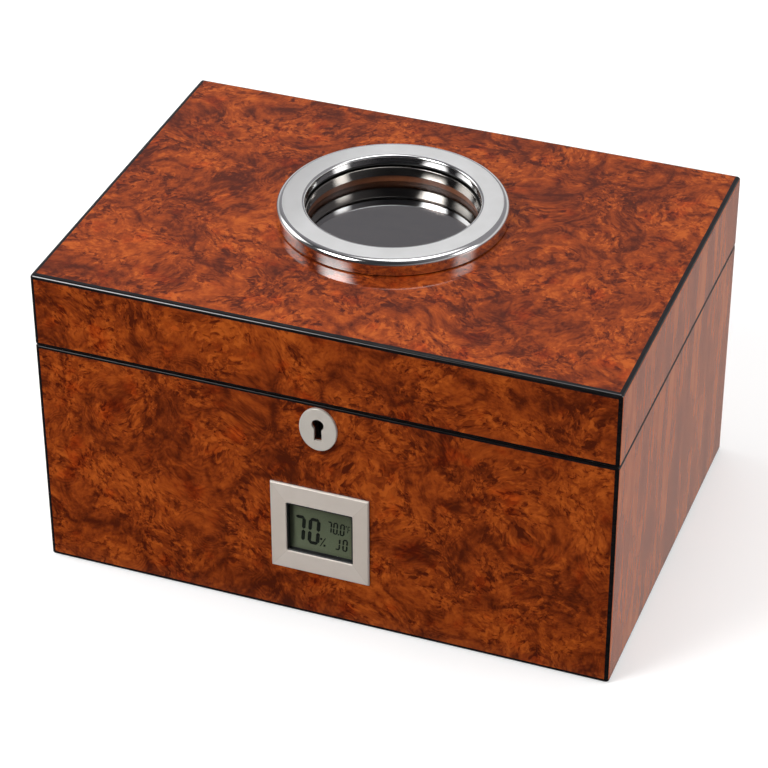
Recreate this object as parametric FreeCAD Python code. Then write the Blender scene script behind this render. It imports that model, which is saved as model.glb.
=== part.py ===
"""Desktop cigar humidor: a veneered box with a hinged lid, a round glass window,
a keyed lid lock, a digital hygrometer, a humidifier and a divider.

Millimetres. X runs to the right, Y to the back, Z up. The origin is the middle of
the felt under the box, on the surface that the box stands on.
"""
import FreeCAD, Part
import math
import os
from FreeCAD import Vector

# Case
case_width = 330.0
case_depth = 232.0
case_height = 188.0
lid_height = 44.3
rim_gap = 0.6
wall_thickness = 12.0
skin_thickness = 1.0
corner_radius = 2.0
top_edge_radius = 1.8
rim_edge_radius = 1.0
foot_edge_radius = 1.0
panel_thickness = 8.0
felt_thickness = 0.8
felt_inset = 4.0
part_clearance = 0.3

# Black edge binding, as bands seen on the faces
top_band_front = 3.2
top_band_side = 2.7
top_band_back = 1.5
front_band_side = 2.4
lid_front_band_top = 1.3
rim_band = 1.5
foot_band = 2.0

# Cedar lining
liner_thickness = 5.0
floor_liner_thickness = 3.0
lip_height = 7.0
lip_clearance = 0.6
lip_headroom = 1.0
lid_liner_thickness = 4.0
ceiling_liner_thickness = 3.0

# Window in the lid; steps and widths are in radius
window_x = -4.2
window_y = 9.2
lid_top_thickness = 12.0
ring_bore = 48.4
ring_width = 15.8
ring_height = 9.5
ring_shoulder = 3.3
ring_inner_shoulder = 1.4
gasket_low = 2.5
gasket_height = 2.4
gasket_step = 0.4
sleeve_step = 0.9
sleeve_wall = 3.2
sleeve_depth = 3.4
light_step = 0.3
glass_overlap = 4.8
glass_thickness = 4.0
seal_step = 0.8
seal_thickness = 0.8
retainer_land = 7.0
retainer_thickness = 2.0
retainer_screw_count = 6
retainer_screw_length = 7.0

# Hinges
hinge_inset = 60.0
hinge_length = 50.4
hinge_knuckles = 5
knuckle_gap = 0.3
knuckle_radius = 2.6
hinge_pin_radius = 1.15
hinge_pin_clearance = 0.05
leaf_thickness = 1.4
leaf_margin = 1.5
leaf_screw_spacing = 17.0

# Screws
screw_head_radius = 2.2
screw_head_depth = 1.2
screw_shank_radius = 1.1
screw_length = 8.0
screw_slot_width = 0.5
screw_slot_depth = 0.5

# Lid lock
escutcheon_drop = 15.2
escutcheon_half_width = 10.7
escutcheon_half_height = 13.4
escutcheon_thickness = 1.5
escutcheon_edge = 0.6
keyhole_rise = 3.1
keyhole_radius = 3.5
keyhole_slot_width = 4.4
keyhole_slot_drop = 10.1
keyhole_relief = 1.2
lock_play = 0.4
lock_thickness = 7.2
lock_half_width = 19.0
lock_height = 27.1
lock_plate = 1.0
selvedge_half_width = 29.0
selvedge_thickness = 2.0
selvedge_margin = 0.8
selvedge_screw_x = 24.5
bolt_half_width = 9.0
bolt_thickness = 4.0
bolt_height = 7.6
bolt_travel = 5.5
bolt_top_setback = 0.3
strike_half_width = 24.0
strike_thickness = 1.5
strike_screw_x = 17.5

# Hygrometer
hygro_height = 59.1
bezel_side_overlap = 4.4
bezel_end_overlap = 4.4
bezel_thickness = 1.4
bezel_bevel = 0.6
aperture_width = 38.4
aperture_height = 32.4
aperture_radius = 0.7
aperture_bevel = 0.4
frame_border = 0.7
frame_side = 2.9
hygro_clearance = 0.4
hygro_proud = 2.5
hygro_split = 6.5
hygro_wall = 2.0
lens_setback = 1.4
lens_thickness = 1.0
display_thickness = 2.2
display_margin = 2.2
board_thickness = 1.6
board_play = 0.2
sensor_size = 5.0
sensor_height = 2.4
battery_radius = 10.0
battery_thickness = 3.2
battery_setback = 4.2
cap_overlap = 2.0
cap_thickness = 2.4
cap_proud = 0.3
cap_slot_length = 14.0
cap_slot_width = 1.8
cap_slot_depth = 1.2
battery_rise = 2.5
button_radius = 2.0
button_flange_radius = 2.8
button_flange = 1.0
button_proud = 1.0
button_spacing = 30.0
button_drop = 17.0
vent_length = 14.0
vent_width = 1.6
vent_places = (-20.0, -16.8, 16.4, 19.6)

# Humidifier under the lid
humidifier_side_gap = 11.6
humidifier_width = 60.0
humidifier_length = 130.0
humidifier_thickness = 20.0
humidifier_wall = 2.0
humidifier_corner = 5.0
grille_hole_radius = 2.2
grille_pitch = 9.0
grille_margin = 8.0
magnet_radius = 8.0
magnet_thickness = 2.5
magnet_inset = 23.0
magnet_gap = 0.4
plate_thickness = 1.0
plate_size = 22.0

# Divider
divider_x = 75.0
divider_thickness = 8.0
divider_drop = 31.0
divider_play = 0.5
divider_notch_radius = 22.0
divider_notch_depth = 12.0

# Places that follow from the sizes
half_width = case_width / 2
half_depth = case_depth / 2
lid_low = case_height - lid_height
base_top = lid_low - rim_gap
hinge_y = half_depth + knuckle_radius + part_clearance
hinge_z = base_top + rim_gap / 2
inner_x = half_width - wall_thickness
inner_y = half_depth - wall_thickness
liner_x = inner_x - liner_thickness
liner_y = inner_y - liner_thickness
panel_top = felt_thickness + panel_thickness
floor_top = panel_top + floor_liner_thickness
lip_top = base_top + lip_height
lid_inner_x = inner_x + lip_clearance
lid_inner_y = inner_y + lip_clearance
lid_top_low = case_height - lid_top_thickness
ceiling_low = lid_top_low - ceiling_liner_thickness
leaf_reach = wall_thickness - leaf_margin
skin_top = case_height - skin_thickness
front_y = -half_depth
bezel_back = front_y - part_clearance
window_centre = Vector(window_x, window_y, 0)
hinge_centres = (hinge_inset - half_width, half_width - hinge_inset)
ring_radius = ring_bore + ring_width
gasket_bore = ring_bore + gasket_step
sleeve_bore = ring_bore - sleeve_step
sleeve_radius = sleeve_bore + sleeve_wall
light_bore = ring_bore + light_step
glass_radius = ring_bore + glass_overlap
glass_low = lid_top_low + seal_thickness
glass_top = glass_low + glass_thickness
seal_bore = ring_bore + seal_step
retainer_radius = glass_radius + retainer_land
retainer_low = lid_top_low - retainer_thickness
retainer_screw_circle = (glass_radius + part_clearance + retainer_radius) / 2
escutcheon_height = base_top - escutcheon_drop
lock_y = (-inner_y - lock_play - lock_thickness, -inner_y - lock_play)
lock_middle = sum(lock_y) / 2
lock_bottom = base_top - lock_height
well_width = aperture_width - 2 * frame_border
well_height = aperture_height - 2 * frame_border
body_size = well_width + 2 * display_margin + 2 * frame_side
cutout_size = body_size + 2 * hygro_clearance
bezel_width = cutout_size + 2 * bezel_side_overlap
bezel_height = cutout_size + 2 * bezel_end_overlap
hygro_back = -liner_y + hygro_proud
cap_radius = battery_radius + cap_overlap
humidifier_left = humidifier_side_gap + lid_liner_thickness - lid_inner_x
humidifier_x = humidifier_left + humidifier_width / 2
magnet_spacing = humidifier_length - 2 * magnet_inset


def span(centre, size):
    """A low and a high limit, evenly about a centre."""
    return (centre - size / 2, centre + size / 2)


def block(x, y, z):
    """A box from a pair of limits in each direction."""
    corner = Vector(x[0], y[0], z[0])
    return Part.makeBox(x[1] - x[0], y[1] - y[0], z[1] - z[0], corner)


def disc(radius, z, centre=Vector(0, 0, 0)):
    """A cylinder along Z."""
    foot = Vector(centre.x, centre.y, z[0])
    return Part.makeCylinder(radius, z[1] - z[0], foot, Vector(0, 0, 1))


def rod(radius, y, x, z):
    """A cylinder along Y."""
    return Part.makeCylinder(radius, y[1] - y[0], Vector(x, y[0], z), Vector(0, 1, 0))


def axle(radius, x, y, z):
    """A cylinder along X."""
    return Part.makeCylinder(radius, x[1] - x[0], Vector(x[0], y, z), Vector(1, 0, 0))


def tube(outer, inner, z, centre):
    """A round ring of rectangular section."""
    return disc(outer, z, centre).cut(disc(inner, z, centre))


def joined(shapes):
    """Several solids as one."""
    first, rest = shapes[0], shapes[1:]
    return first.fuse(rest).removeSplitter() if rest else first


def edges_along(shape, direction):
    """The straight edges of a shape that run along a unit vector."""
    found = []
    for edge in shape.Edges:
        run = edge.Vertexes[-1].Point - edge.Vertexes[0].Point
        if run.Length > 0 and abs(abs(run.normalize().dot(direction)) - 1) < 1e-6:
            found.append(edge)
    return found


def edges_at(shape, axis, level):
    """The edges of a shape that lie in one plane across an axis."""
    return [edge for edge in shape.Edges
            if all(abs(getattr(point, axis) - level) < 1e-6
                   for point in edge.discretize(Number=5))]


def softened_block(x, y, z, radius):
    """A box whose upright edges are rounded."""
    shape = block(x, y, z)
    return shape.makeFillet(radius, edges_along(shape, Vector(0, 0, 1)))


def case_hull(z, top_radius, bottom_radius):
    """The outside of the lid or of the base, with its edges sanded round."""
    shape = softened_block((-half_width, half_width), (-half_depth, half_depth), z,
                           corner_radius)
    shape = shape.makeFillet(top_radius, edges_at(shape, "z", z[1]))
    return shape.makeFillet(bottom_radius, edges_at(shape, "z", z[0]))


def screw(x, y, z, up, length=screw_length):
    """A countersunk screw whose head is level with z; its tip points up or down."""
    way = Vector(0, 0, 1 if up else -1)
    head = Part.makeCone(screw_head_radius, screw_shank_radius, screw_head_depth,
                         Vector(x, y, z), way)
    shank = Part.makeCylinder(screw_shank_radius, length, Vector(x, y, z), way)
    return head.fuse(shank).removeSplitter()


def slotted_screw(x, y, z, up, length=screw_length):
    """The same screw with a driver slot across its head."""
    floor = z + screw_slot_depth * (1 if up else -1)
    slot = block(span(x, 2 * screw_head_radius), span(y, screw_slot_width),
                 sorted((z, floor)))
    return screw(x, y, z, up, length).cut(slot)


# Screw places: (x, y, z, tip points up) and, where it differs, the length
hinge_screw_y = half_depth - leaf_reach / 2
leaf_screw_xs = [centre + step * leaf_screw_spacing
                 for centre in hinge_centres for step in (-1, 0, 1)]
base_hinge_screws = [(x, hinge_screw_y, base_top, False) for x in leaf_screw_xs]
lid_hinge_screws = [(x, hinge_screw_y, lid_low, True) for x in leaf_screw_xs]
lock_screws = [(x, lock_middle, base_top, False)
               for x in (-selvedge_screw_x, selvedge_screw_x)]
strike_screws = [(x, lock_middle, lid_low, True)
                 for x in (-strike_screw_x, strike_screw_x)]
retainer_angles = [2 * math.pi * (number + 0.5) / retainer_screw_count
                   for number in range(retainer_screw_count)]
retainer_screws = [(window_x + retainer_screw_circle * math.cos(angle),
                    window_y + retainer_screw_circle * math.sin(angle),
                    retainer_low, True, retainer_screw_length)
                   for angle in retainer_angles]


def screw_group(places):
    """Every screw at a list of places."""
    return [slotted_screw(*place) for place in places]


def without_screws(shape, places):
    """A plate or panel with the screws' own shape taken out of it."""
    return shape.cut([screw(*place) for place in places])


def keyhole(y, relief=0.0):
    """The keyhole, a round hole over a slot, through a stretch of Y."""
    centre = escutcheon_height + keyhole_rise
    slot = block(span(0, keyhole_slot_width + 2 * relief), y,
                 (centre - keyhole_slot_drop - relief, centre))
    return rod(keyhole_radius + relief, y, 0, centre).fuse(slot)


def hygro_cutout(y):
    """The square hole for the hygrometer, through a stretch of Y."""
    return block(span(0, cutout_size), y, span(hygro_height, cutout_size))


def leaf_mortises(z):
    """The seats of the two hinge leaves in one rim."""
    return [block(span(centre, hinge_length), (half_depth - leaf_reach, half_depth), z)
            for centre in hinge_centres]


def base_parts():
    """Panels, veneers, binding and cedar of the base."""
    z = (felt_thickness, base_top)
    hull = case_hull(z, rim_edge_radius, foot_edge_radius)
    skin_x = half_width - skin_thickness
    skin_y = half_depth - skin_thickness
    mortises = leaf_mortises((base_top - leaf_thickness, base_top))
    lock_pocket = [
        block((-lock_half_width, lock_half_width), (lock_y[0], -inner_y),
              (lock_bottom, base_top)),
        block((-selvedge_half_width, selvedge_half_width),
              (lock_y[0] - selvedge_margin, -inner_y),
              (base_top - selvedge_thickness, base_top))]

    front = block((-skin_x, skin_x), (-skin_y, -inner_y), z)
    front = front.cut(lock_pocket + [hygro_cutout((-skin_y, -inner_y)),
                                     keyhole((-skin_y, lock_y[0]))])
    front = without_screws(front, lock_screws)
    back = block((-skin_x, skin_x), (inner_y, skin_y), z).cut(mortises)
    back = without_screws(back, base_hinge_screws)

    layer = (front_y, front_y + skin_thickness)
    field_x = (-half_width + front_band_side, half_width - front_band_side)
    field_z = (z[0] + foot_band, z[1] - rim_band)
    field = block(field_x, layer, field_z)
    binding = hull.common(block((-half_width, half_width), layer, z)).cut(field)
    burl = field.cut([hygro_cutout(layer), keyhole(layer)])

    side_y = (front_y + skin_thickness, half_depth)
    sides = [hull.common(block(x, side_y, z))
             for x in ((-half_width, -skin_x), (skin_x, half_width))]
    back_veneer = hull.common(block((-skin_x, skin_x), (skin_y, half_depth), z))

    liner_z = (panel_top, lip_top)
    front_liner = block((-inner_x, inner_x), (-inner_y, -liner_y), liner_z)
    save("base_felt_pad", softened_block(
        (-half_width + felt_inset, half_width - felt_inset),
        (-half_depth + felt_inset, half_depth - felt_inset), (0, felt_thickness),
        corner_radius))
    save("base_floor_panel", block((-inner_x, inner_x), (-inner_y, inner_y),
                                   (felt_thickness, panel_top)))
    save("base_front_panel", front)
    save("base_back_panel", back)
    save("base_side_panels", *[block(x, (-inner_y, inner_y), z)
                               for x in ((-skin_x, -inner_x), (inner_x, skin_x))])
    save("base_front_burl", burl)
    save("base_front_binding", binding)
    save("base_side_veneers", *sides)
    save("base_back_veneer", back_veneer.cut(mortises))
    save("base_front_liner", front_liner.cut(hygro_cutout((-inner_y, -liner_y))))
    save("base_back_liner", block((-inner_x, inner_x), (liner_y, inner_y), liner_z))
    save("base_side_liners", *[block(x, (-liner_y, liner_y), liner_z)
                               for x in ((-inner_x, -liner_x), (liner_x, inner_x))])
    save("base_floor_liner", block((-liner_x, liner_x), (-liner_y, liner_y),
                                   (panel_top, floor_top)))


def lid_parts():
    """Panel, rails, veneers, binding and cedar of the lid."""
    z = (lid_low, case_height)
    hull = case_hull(z, top_edge_radius, rim_edge_radius)
    skin_x = half_width - skin_thickness
    skin_y = half_depth - skin_thickness
    rail_z = (lid_low, lid_top_low)
    wall_z = (lid_low, skin_top)
    mortises = leaf_mortises((lid_low, lid_low + leaf_thickness))
    bolt_room = block((-bolt_half_width - part_clearance, bolt_half_width + part_clearance),
                      span(lock_middle, bolt_thickness + 2 * part_clearance),
                      (lid_low, base_top + bolt_travel + 2 * rim_gap))
    strike_seat = block((-strike_half_width, strike_half_width),
                        (lock_y[0] - selvedge_margin, -lid_inner_y),
                        (lid_low, lid_low + strike_thickness))

    top_z = (lid_top_low, skin_top)
    top = block((-skin_x, skin_x), (-skin_y, skin_y), top_z)
    top = top.cut([
        disc(sleeve_radius, (case_height - sleeve_depth, skin_top), window_centre),
        disc(light_bore, top_z, window_centre),
        disc(glass_radius + part_clearance, (lid_top_low, glass_top), window_centre)])
    top = without_screws(top, retainer_screws)
    front = block((-skin_x, skin_x), (-skin_y, -lid_inner_y), rail_z)
    front = without_screws(front.cut([bolt_room, strike_seat]), strike_screws)
    back = block((-skin_x, skin_x), (lid_inner_y, skin_y), rail_z).cut(mortises)
    back = without_screws(back, lid_hinge_screws)

    layer_z = (skin_top, case_height)
    top_field = block((-half_width + top_band_side, half_width - top_band_side),
                      (front_y + top_band_front, half_depth - top_band_back), layer_z)
    top_layer = hull.common(block((-half_width, half_width),
                                  (-half_depth, half_depth), layer_z))
    window_hole = disc(sleeve_radius, layer_z, window_centre)

    layer_y = (front_y, front_y + skin_thickness)
    front_field = block((-half_width + front_band_side, half_width - front_band_side),
                        layer_y, (lid_low + rim_band, skin_top - lid_front_band_top))
    front_layer = hull.common(block((-half_width, half_width), layer_y, wall_z))
    side_y = (front_y + skin_thickness, half_depth)
    sides = [hull.common(block(x, side_y, wall_z))
             for x in ((-half_width, -skin_x), (skin_x, half_width))]
    back_veneer = hull.common(block((-skin_x, skin_x), (skin_y, half_depth), wall_z))

    liner_z = (lip_top + lip_headroom, ceiling_low)
    lined_x = lid_inner_x - lid_liner_thickness
    lined_y = lid_inner_y - lid_liner_thickness
    liners = [block((-lid_inner_x, lid_inner_x), y, liner_z)
              for y in ((-lid_inner_y, -lined_y), (lined_y, lid_inner_y))]
    liners += [block(x, (-lined_y, lined_y), liner_z)
               for x in ((-lid_inner_x, -lined_x), (lined_x, lid_inner_x))]
    ceiling = block((-lid_inner_x, lid_inner_x), (-lid_inner_y, lid_inner_y),
                    (ceiling_low, lid_top_low))
    ceiling_hole = disc(retainer_radius + part_clearance, (ceiling_low, lid_top_low),
                        window_centre)

    save("lid_top_panel", top)
    save("lid_front_rail", front)
    save("lid_back_rail", back)
    save("lid_side_rails", *[block(x, (-lid_inner_y, lid_inner_y), rail_z)
                             for x in ((-skin_x, -lid_inner_x), (lid_inner_x, skin_x))])
    save("lid_top_burl", top_field.cut(window_hole))
    save("lid_top_binding", top_layer.cut(top_field))
    save("lid_front_burl", front_field)
    save("lid_front_binding", front_layer.cut(front_field))
    save("lid_side_veneers", *sides)
    save("lid_back_veneer", back_veneer.cut(mortises))
    save("lid_wall_liners", *liners)
    save("lid_ceiling_liner", ceiling.cut(ceiling_hole))


def window_parts():
    """Chrome ring, gasket, sleeve, glass, seal and retaining ring."""
    top = case_height

    ring = disc(ring_radius, (top, top + ring_height), window_centre)
    ring = ring.makeFillet(ring_shoulder, edges_at(ring, "z", top + ring_height))
    ring = ring.cut(disc(ring_bore, (top, top + ring_height), window_centre))
    rim = [edge for edge in edges_at(ring, "z", top + ring_height)
           if abs(edge.Curve.Radius - ring_bore) < 1e-6]
    ring = ring.makeFillet(ring_inner_shoulder, rim)
    ring = ring.cut(disc(sleeve_radius, (top, top + gasket_low + gasket_height),
                         window_centre))

    retainer = tube(retainer_radius, light_bore, (retainer_low, lid_top_low),
                    window_centre)
    save("window_ring", ring)
    save("window_gasket", tube(sleeve_radius, gasket_bore,
                               (top + gasket_low, top + gasket_low + gasket_height),
                               window_centre))
    save("window_sleeve", tube(sleeve_radius, sleeve_bore,
                               (top - sleeve_depth, top + gasket_low), window_centre))
    save("window_glass", disc(glass_radius, (glass_low, glass_top), window_centre))
    save("window_seal", tube(glass_radius, seal_bore, (lid_top_low, glass_low),
                             window_centre))
    save("window_retaining_ring", without_screws(retainer, retainer_screws))
    save("window_screws", *screw_group(retainer_screws))


def hinge_leaf(centre, of_lid):
    """One leaf of a hinge with its own knuckles."""
    if of_lid:
        z, first, places = (lid_low, lid_low + leaf_thickness), 1, lid_hinge_screws
    else:
        z, first, places = (base_top - leaf_thickness, base_top), 0, base_hinge_screws
    plate = block(span(centre, hinge_length), (half_depth - leaf_reach, half_depth), z)
    pitch = hinge_length / hinge_knuckles
    pieces = [plate]
    for number in range(first, hinge_knuckles, 2):
        start = centre - hinge_length / 2 + number * pitch
        x = (start + knuckle_gap / 2, start + pitch - knuckle_gap / 2)
        pieces.append(block(x, (half_depth, hinge_y), z))
        pieces.append(axle(knuckle_radius, x, hinge_y, hinge_z))
    bore_radius = hinge_pin_radius + (hinge_pin_clearance if of_lid else 0)
    bore = axle(bore_radius, span(centre, hinge_length), hinge_y, hinge_z)
    return without_screws(joined(pieces).cut(bore), places)


def hinge_parts():
    """Two butt hinges at the back, and the screws of all the rim hardware."""
    pins = [axle(hinge_pin_radius, span(centre, hinge_length), hinge_y, hinge_z)
            for centre in hinge_centres]
    save("hinge_base_leaves", *[hinge_leaf(centre, False) for centre in hinge_centres])
    save("hinge_lid_leaves", *[hinge_leaf(centre, True) for centre in hinge_centres])
    save("hinge_pins", *pins)
    save("base_rim_screws", *screw_group(base_hinge_screws + lock_screws))
    save("lid_rim_screws", *screw_group(lid_hinge_screws + strike_screws))


def lock_parts():
    """Escutcheon, mortise lock with its bolt, and the strike plate in the lid."""
    case_top = base_top - selvedge_thickness
    inner_low = lock_y[0] + lock_plate
    cover_y = (lock_y[1] - lock_plate, lock_y[1])
    room = block((-lock_half_width + lock_plate, lock_half_width - lock_plate),
                 (inner_low, lock_y[1]), (lock_bottom + lock_plate, case_top))
    bolt_slot = block((-bolt_half_width - part_clearance, bolt_half_width + part_clearance),
                      span(lock_middle, bolt_thickness + 2 * part_clearance),
                      (case_top, base_top))
    selvedge = block((-selvedge_half_width, selvedge_half_width),
                     (lock_y[0] - selvedge_margin, -inner_y), (case_top, base_top))
    case = block((-lock_half_width, lock_half_width), lock_y, (lock_bottom, case_top))
    case = joined([case.cut(room), selvedge]).cut([bolt_slot,
                                                   keyhole((lock_y[0], inner_low))])
    cover = block((-lock_half_width + lock_plate, lock_half_width - lock_plate), cover_y,
                  (lock_bottom + lock_plate, case_top))

    bolt_top = base_top - bolt_top_setback
    bolt = block((-bolt_half_width, bolt_half_width), span(lock_middle, bolt_thickness),
                 (bolt_top - bolt_height, bolt_top))
    talon = rod(keyhole_radius, span(lock_middle, bolt_thickness), 0,
                bolt_top - bolt_height - keyhole_radius / 2)

    strike = block((-strike_half_width, strike_half_width),
                   (lock_y[0] - selvedge_margin, -lid_inner_y),
                   (lid_low, lid_low + strike_thickness))
    strike_slot = block((-bolt_half_width - part_clearance,
                         bolt_half_width + part_clearance),
                        span(lock_middle, bolt_thickness + 2 * part_clearance),
                        (lid_low, lid_low + strike_thickness))

    y = (front_y - escutcheon_thickness, front_y)
    oval = Part.Ellipse(Vector(0, y[1], escutcheon_height + escutcheon_half_height),
                        Vector(escutcheon_half_width, y[1], escutcheon_height),
                        Vector(0, y[1], escutcheon_height))
    plate = Part.Face(Part.Wire([oval.toShape()])).extrude(Vector(0, y[0] - y[1], 0))
    plate = plate.makeFillet(escutcheon_edge, edges_at(plate, "y", y[0]))

    save("lock_escutcheon", plate.cut(keyhole(y)))
    save("lock_case", without_screws(case, lock_screws))
    save("lock_cover", cover)
    save("lock_bolt", bolt.cut(talon))
    save("strike_plate", without_screws(strike.cut(strike_slot), strike_screws))


def hygro_block(size, y):
    """A square block about the middle of the hygrometer."""
    return block(span(0, size), y, span(hygro_height, size))


def hygro_parts():
    """The hygrometer: a module that pulls out of the front wall."""
    back = hygro_back
    split = front_y + hygro_split
    lens_y = (front_y + lens_setback, front_y + lens_setback + lens_thickness)
    display_y = (lens_y[1], lens_y[1] + display_thickness)
    room_size = body_size - 2 * hygro_wall
    well_x = span(0, well_width)
    well_z = span(hygro_height, well_height)
    display_x = (well_x[0] - display_margin, well_x[1] + display_margin)
    display_z = (well_z[0] - display_margin, well_z[1] + display_margin)

    bezel_y = (bezel_back - bezel_thickness, bezel_back)
    bezel = block(span(0, bezel_width), bezel_y, span(hygro_height, bezel_height))
    bezel = bezel.makeChamfer(bezel_bevel, edges_at(bezel, "y", bezel_y[0]))
    hole = block(span(0, aperture_width), bezel_y, span(hygro_height, aperture_height))
    hole = hole.makeFillet(aperture_radius, edges_along(hole, Vector(0, 1, 0)))
    bezel = bezel.cut(hole)
    inner_edges = [edge for edge in edges_at(bezel, "y", bezel_y[0])
                   if abs(edge.CenterOfMass.x) < (aperture_width + bezel_bevel) / 2
                   and abs(edge.CenterOfMass.z - hygro_height)
                   < (aperture_height + bezel_bevel) / 2]
    bezel = bezel.makeChamfer(aperture_bevel, inner_edges)

    frame = hygro_block(body_size, (bezel_back, split))
    frame = frame.cut([block(well_x, (bezel_back, lens_y[1]), well_z),
                       block(display_x, (lens_y[1], split), display_z)])

    board_y = (split, split + board_thickness)
    wall_y = (back - hygro_wall, back)
    battery_z = hygro_height + battery_rise
    battery_y = (wall_y[0] - battery_setback, wall_y[0] - battery_setback
                 + battery_thickness)
    vents = [block(span(0, vent_length), wall_y, span(hygro_height + rise, vent_width))
             for rise in vent_places]
    button_holes = [rod(button_radius + part_clearance, wall_y, x,
                        hygro_height - button_drop) for x in span(0, button_spacing)]
    housing = hygro_block(body_size, (split, back))
    housing = housing.cut(vents + button_holes + [
        hygro_block(room_size, (split, wall_y[0])),
        rod(cap_radius + part_clearance, wall_y, 0, battery_z)])

    cap_y = (back + cap_proud - cap_thickness, back + cap_proud)
    cap = rod(cap_radius, cap_y, 0, battery_z)
    cap = cap.cut(block(span(0, cap_slot_length), (cap_y[1] - cap_slot_depth, cap_y[1]),
                        span(battery_z, cap_slot_width)))

    sensor_z = hygro_height - room_size / 2 + sensor_size
    save("hygro_bezel", bezel)
    save("hygro_front_frame", frame)
    save("hygro_lens", block(well_x, lens_y, well_z))
    save("hygro_display", block(display_x, display_y, display_z))
    save("hygro_board", hygro_block(room_size - 2 * board_play, board_y))
    save("hygro_sensor", block(span(0, sensor_size),
                               (board_y[1], board_y[1] + sensor_height),
                               span(sensor_z, sensor_size)))
    save("hygro_battery", rod(battery_radius, battery_y, 0, battery_z))
    save("hygro_rear_housing", housing)
    save("hygro_battery_cap", cap)

    flange_y = (wall_y[0] - part_clearance - button_flange, wall_y[0] - part_clearance)
    stem_y = (flange_y[0], back + button_proud)
    for side, x in zip(("left", "right"), span(0, button_spacing)):
        z = hygro_height - button_drop
        save("hygro_" + side + "_button",
             joined([rod(button_flange_radius, flange_y, x, z),
                     rod(button_radius, stem_y, x, z)]))


def grille_steps(size):
    """Where the rows of holes lie across the grille, evenly about its middle."""
    room = size - 2 * (humidifier_wall + grille_margin)
    count = int(room / grille_pitch) + 1
    return [(number - (count - 1) / 2) * grille_pitch for number in range(count)]


def humidifier_parts():
    """The humidifier case, its grille, foam and magnets, and the plates in the lid."""
    plate_low = ceiling_low - plate_thickness
    top = plate_low - magnet_gap
    low = top - humidifier_thickness
    x = span(humidifier_x, humidifier_width)
    y = span(0, humidifier_length)
    inside_x = (x[0] + humidifier_wall, x[1] - humidifier_wall)
    inside_y = (y[0] + humidifier_wall, y[1] - humidifier_wall)
    cover_z = (low, low + humidifier_wall)
    inside_radius = humidifier_corner - humidifier_wall
    magnet_places = [Vector(humidifier_x, centre, 0) for centre in span(0, magnet_spacing)]
    magnets = [disc(magnet_radius, (top - magnet_thickness, top), place)
               for place in magnet_places]

    shell = softened_block(x, y, (low, top), humidifier_corner)
    roof = top - magnet_thickness - humidifier_wall
    shell = shell.cut([softened_block(inside_x, inside_y, (low, roof), inside_radius)]
                      + magnets)

    grille = softened_block(inside_x, inside_y, cover_z, inside_radius)
    holes = [disc(grille_hole_radius, cover_z, Vector(humidifier_x + across, along, 0))
             for across in grille_steps(humidifier_width)
             for along in grille_steps(humidifier_length)]

    save("humidifier_case", shell)
    save("humidifier_grille", grille.cut(holes))
    save("humidifier_foam", softened_block(inside_x, inside_y, (cover_z[1], roof),
                                           inside_radius))
    save("humidifier_magnets", *magnets)
    save("humidifier_lid_plates",
         *[block(span(place.x, plate_size), span(place.y, plate_size),
                 (plate_low, ceiling_low)) for place in magnet_places])


def divider_part():
    """A cedar divider that slides along the base, with a finger notch in its top."""
    x = span(divider_x, divider_thickness)
    low = floor_top + part_clearance
    top = base_top - divider_drop
    plate = block(x, (-liner_y + divider_play, liner_y - divider_play), (low, top))
    notch = axle(divider_notch_radius, x, 0,
                 top + divider_notch_radius - divider_notch_depth)
    save("divider", plate.cut(notch))


def save(node, *solids):
    """Write one sub-part, of one or more solids, to its own STEP file."""
    whole = [solid for shape in solids for solid in shape.Solids]
    shape = whole[0] if len(whole) == 1 else Part.makeCompound(whole)
    shape.exportStep(os.path.join("parts", node + ".step"))


os.makedirs("parts", exist_ok=True)
base_parts()
lid_parts()
window_parts()
hinge_parts()
lock_parts()
hygro_parts()
humidifier_parts()
divider_part()
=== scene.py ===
"""Finishes and fine pieces of a desktop cigar humidor, laid out as an add-on.

Metres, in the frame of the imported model: X to the right, Y to the back, Z up.
"""
from math import cos, pi, radians, sin, tan

import bmesh
import bpy
from bpy.props import (FloatProperty, FloatVectorProperty, IntProperty, PointerProperty,
                       StringProperty)
from bpy.types import Operator, Panel, PropertyGroup
from mathutils import Matrix, Vector


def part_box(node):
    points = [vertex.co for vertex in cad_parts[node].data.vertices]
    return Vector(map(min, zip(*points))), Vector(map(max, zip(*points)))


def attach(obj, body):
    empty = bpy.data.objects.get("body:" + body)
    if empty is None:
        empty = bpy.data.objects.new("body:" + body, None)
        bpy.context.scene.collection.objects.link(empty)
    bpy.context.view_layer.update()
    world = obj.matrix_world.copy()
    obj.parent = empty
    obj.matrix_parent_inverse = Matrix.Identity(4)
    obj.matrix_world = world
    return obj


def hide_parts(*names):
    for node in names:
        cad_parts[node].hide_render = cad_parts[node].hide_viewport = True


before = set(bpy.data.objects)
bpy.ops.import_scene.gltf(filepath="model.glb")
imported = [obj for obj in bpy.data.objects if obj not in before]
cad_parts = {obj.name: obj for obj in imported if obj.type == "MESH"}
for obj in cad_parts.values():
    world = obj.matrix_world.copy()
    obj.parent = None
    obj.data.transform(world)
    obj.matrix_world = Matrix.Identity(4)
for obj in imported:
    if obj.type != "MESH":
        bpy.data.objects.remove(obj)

bl_info = {
    "name": "Desktop Humidor",
    "version": (1, 0, 0),
    "blender": (4, 5, 0),
    "location": "View3D > Sidebar > Humidor",
    "description": "Finishes and fine pieces of a desktop cigar humidor",
    "category": "Add Mesh",
}

MM = 0.001
SEED = 7
OPENING_X, OPENING_Z = 19.2, 16.2  # half sizes of the bezel's opening, in millimetres
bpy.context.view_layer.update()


def colour(red, green, blue):
    """A linear colour with alpha from display levels of 0 to 255."""
    levels = [(level / 255 / 12.92) if level <= 10 else ((level / 255 + 0.055) / 1.055) ** 2.4
              for level in (red, green, blue)]
    return (*levels, 1.0)


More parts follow.
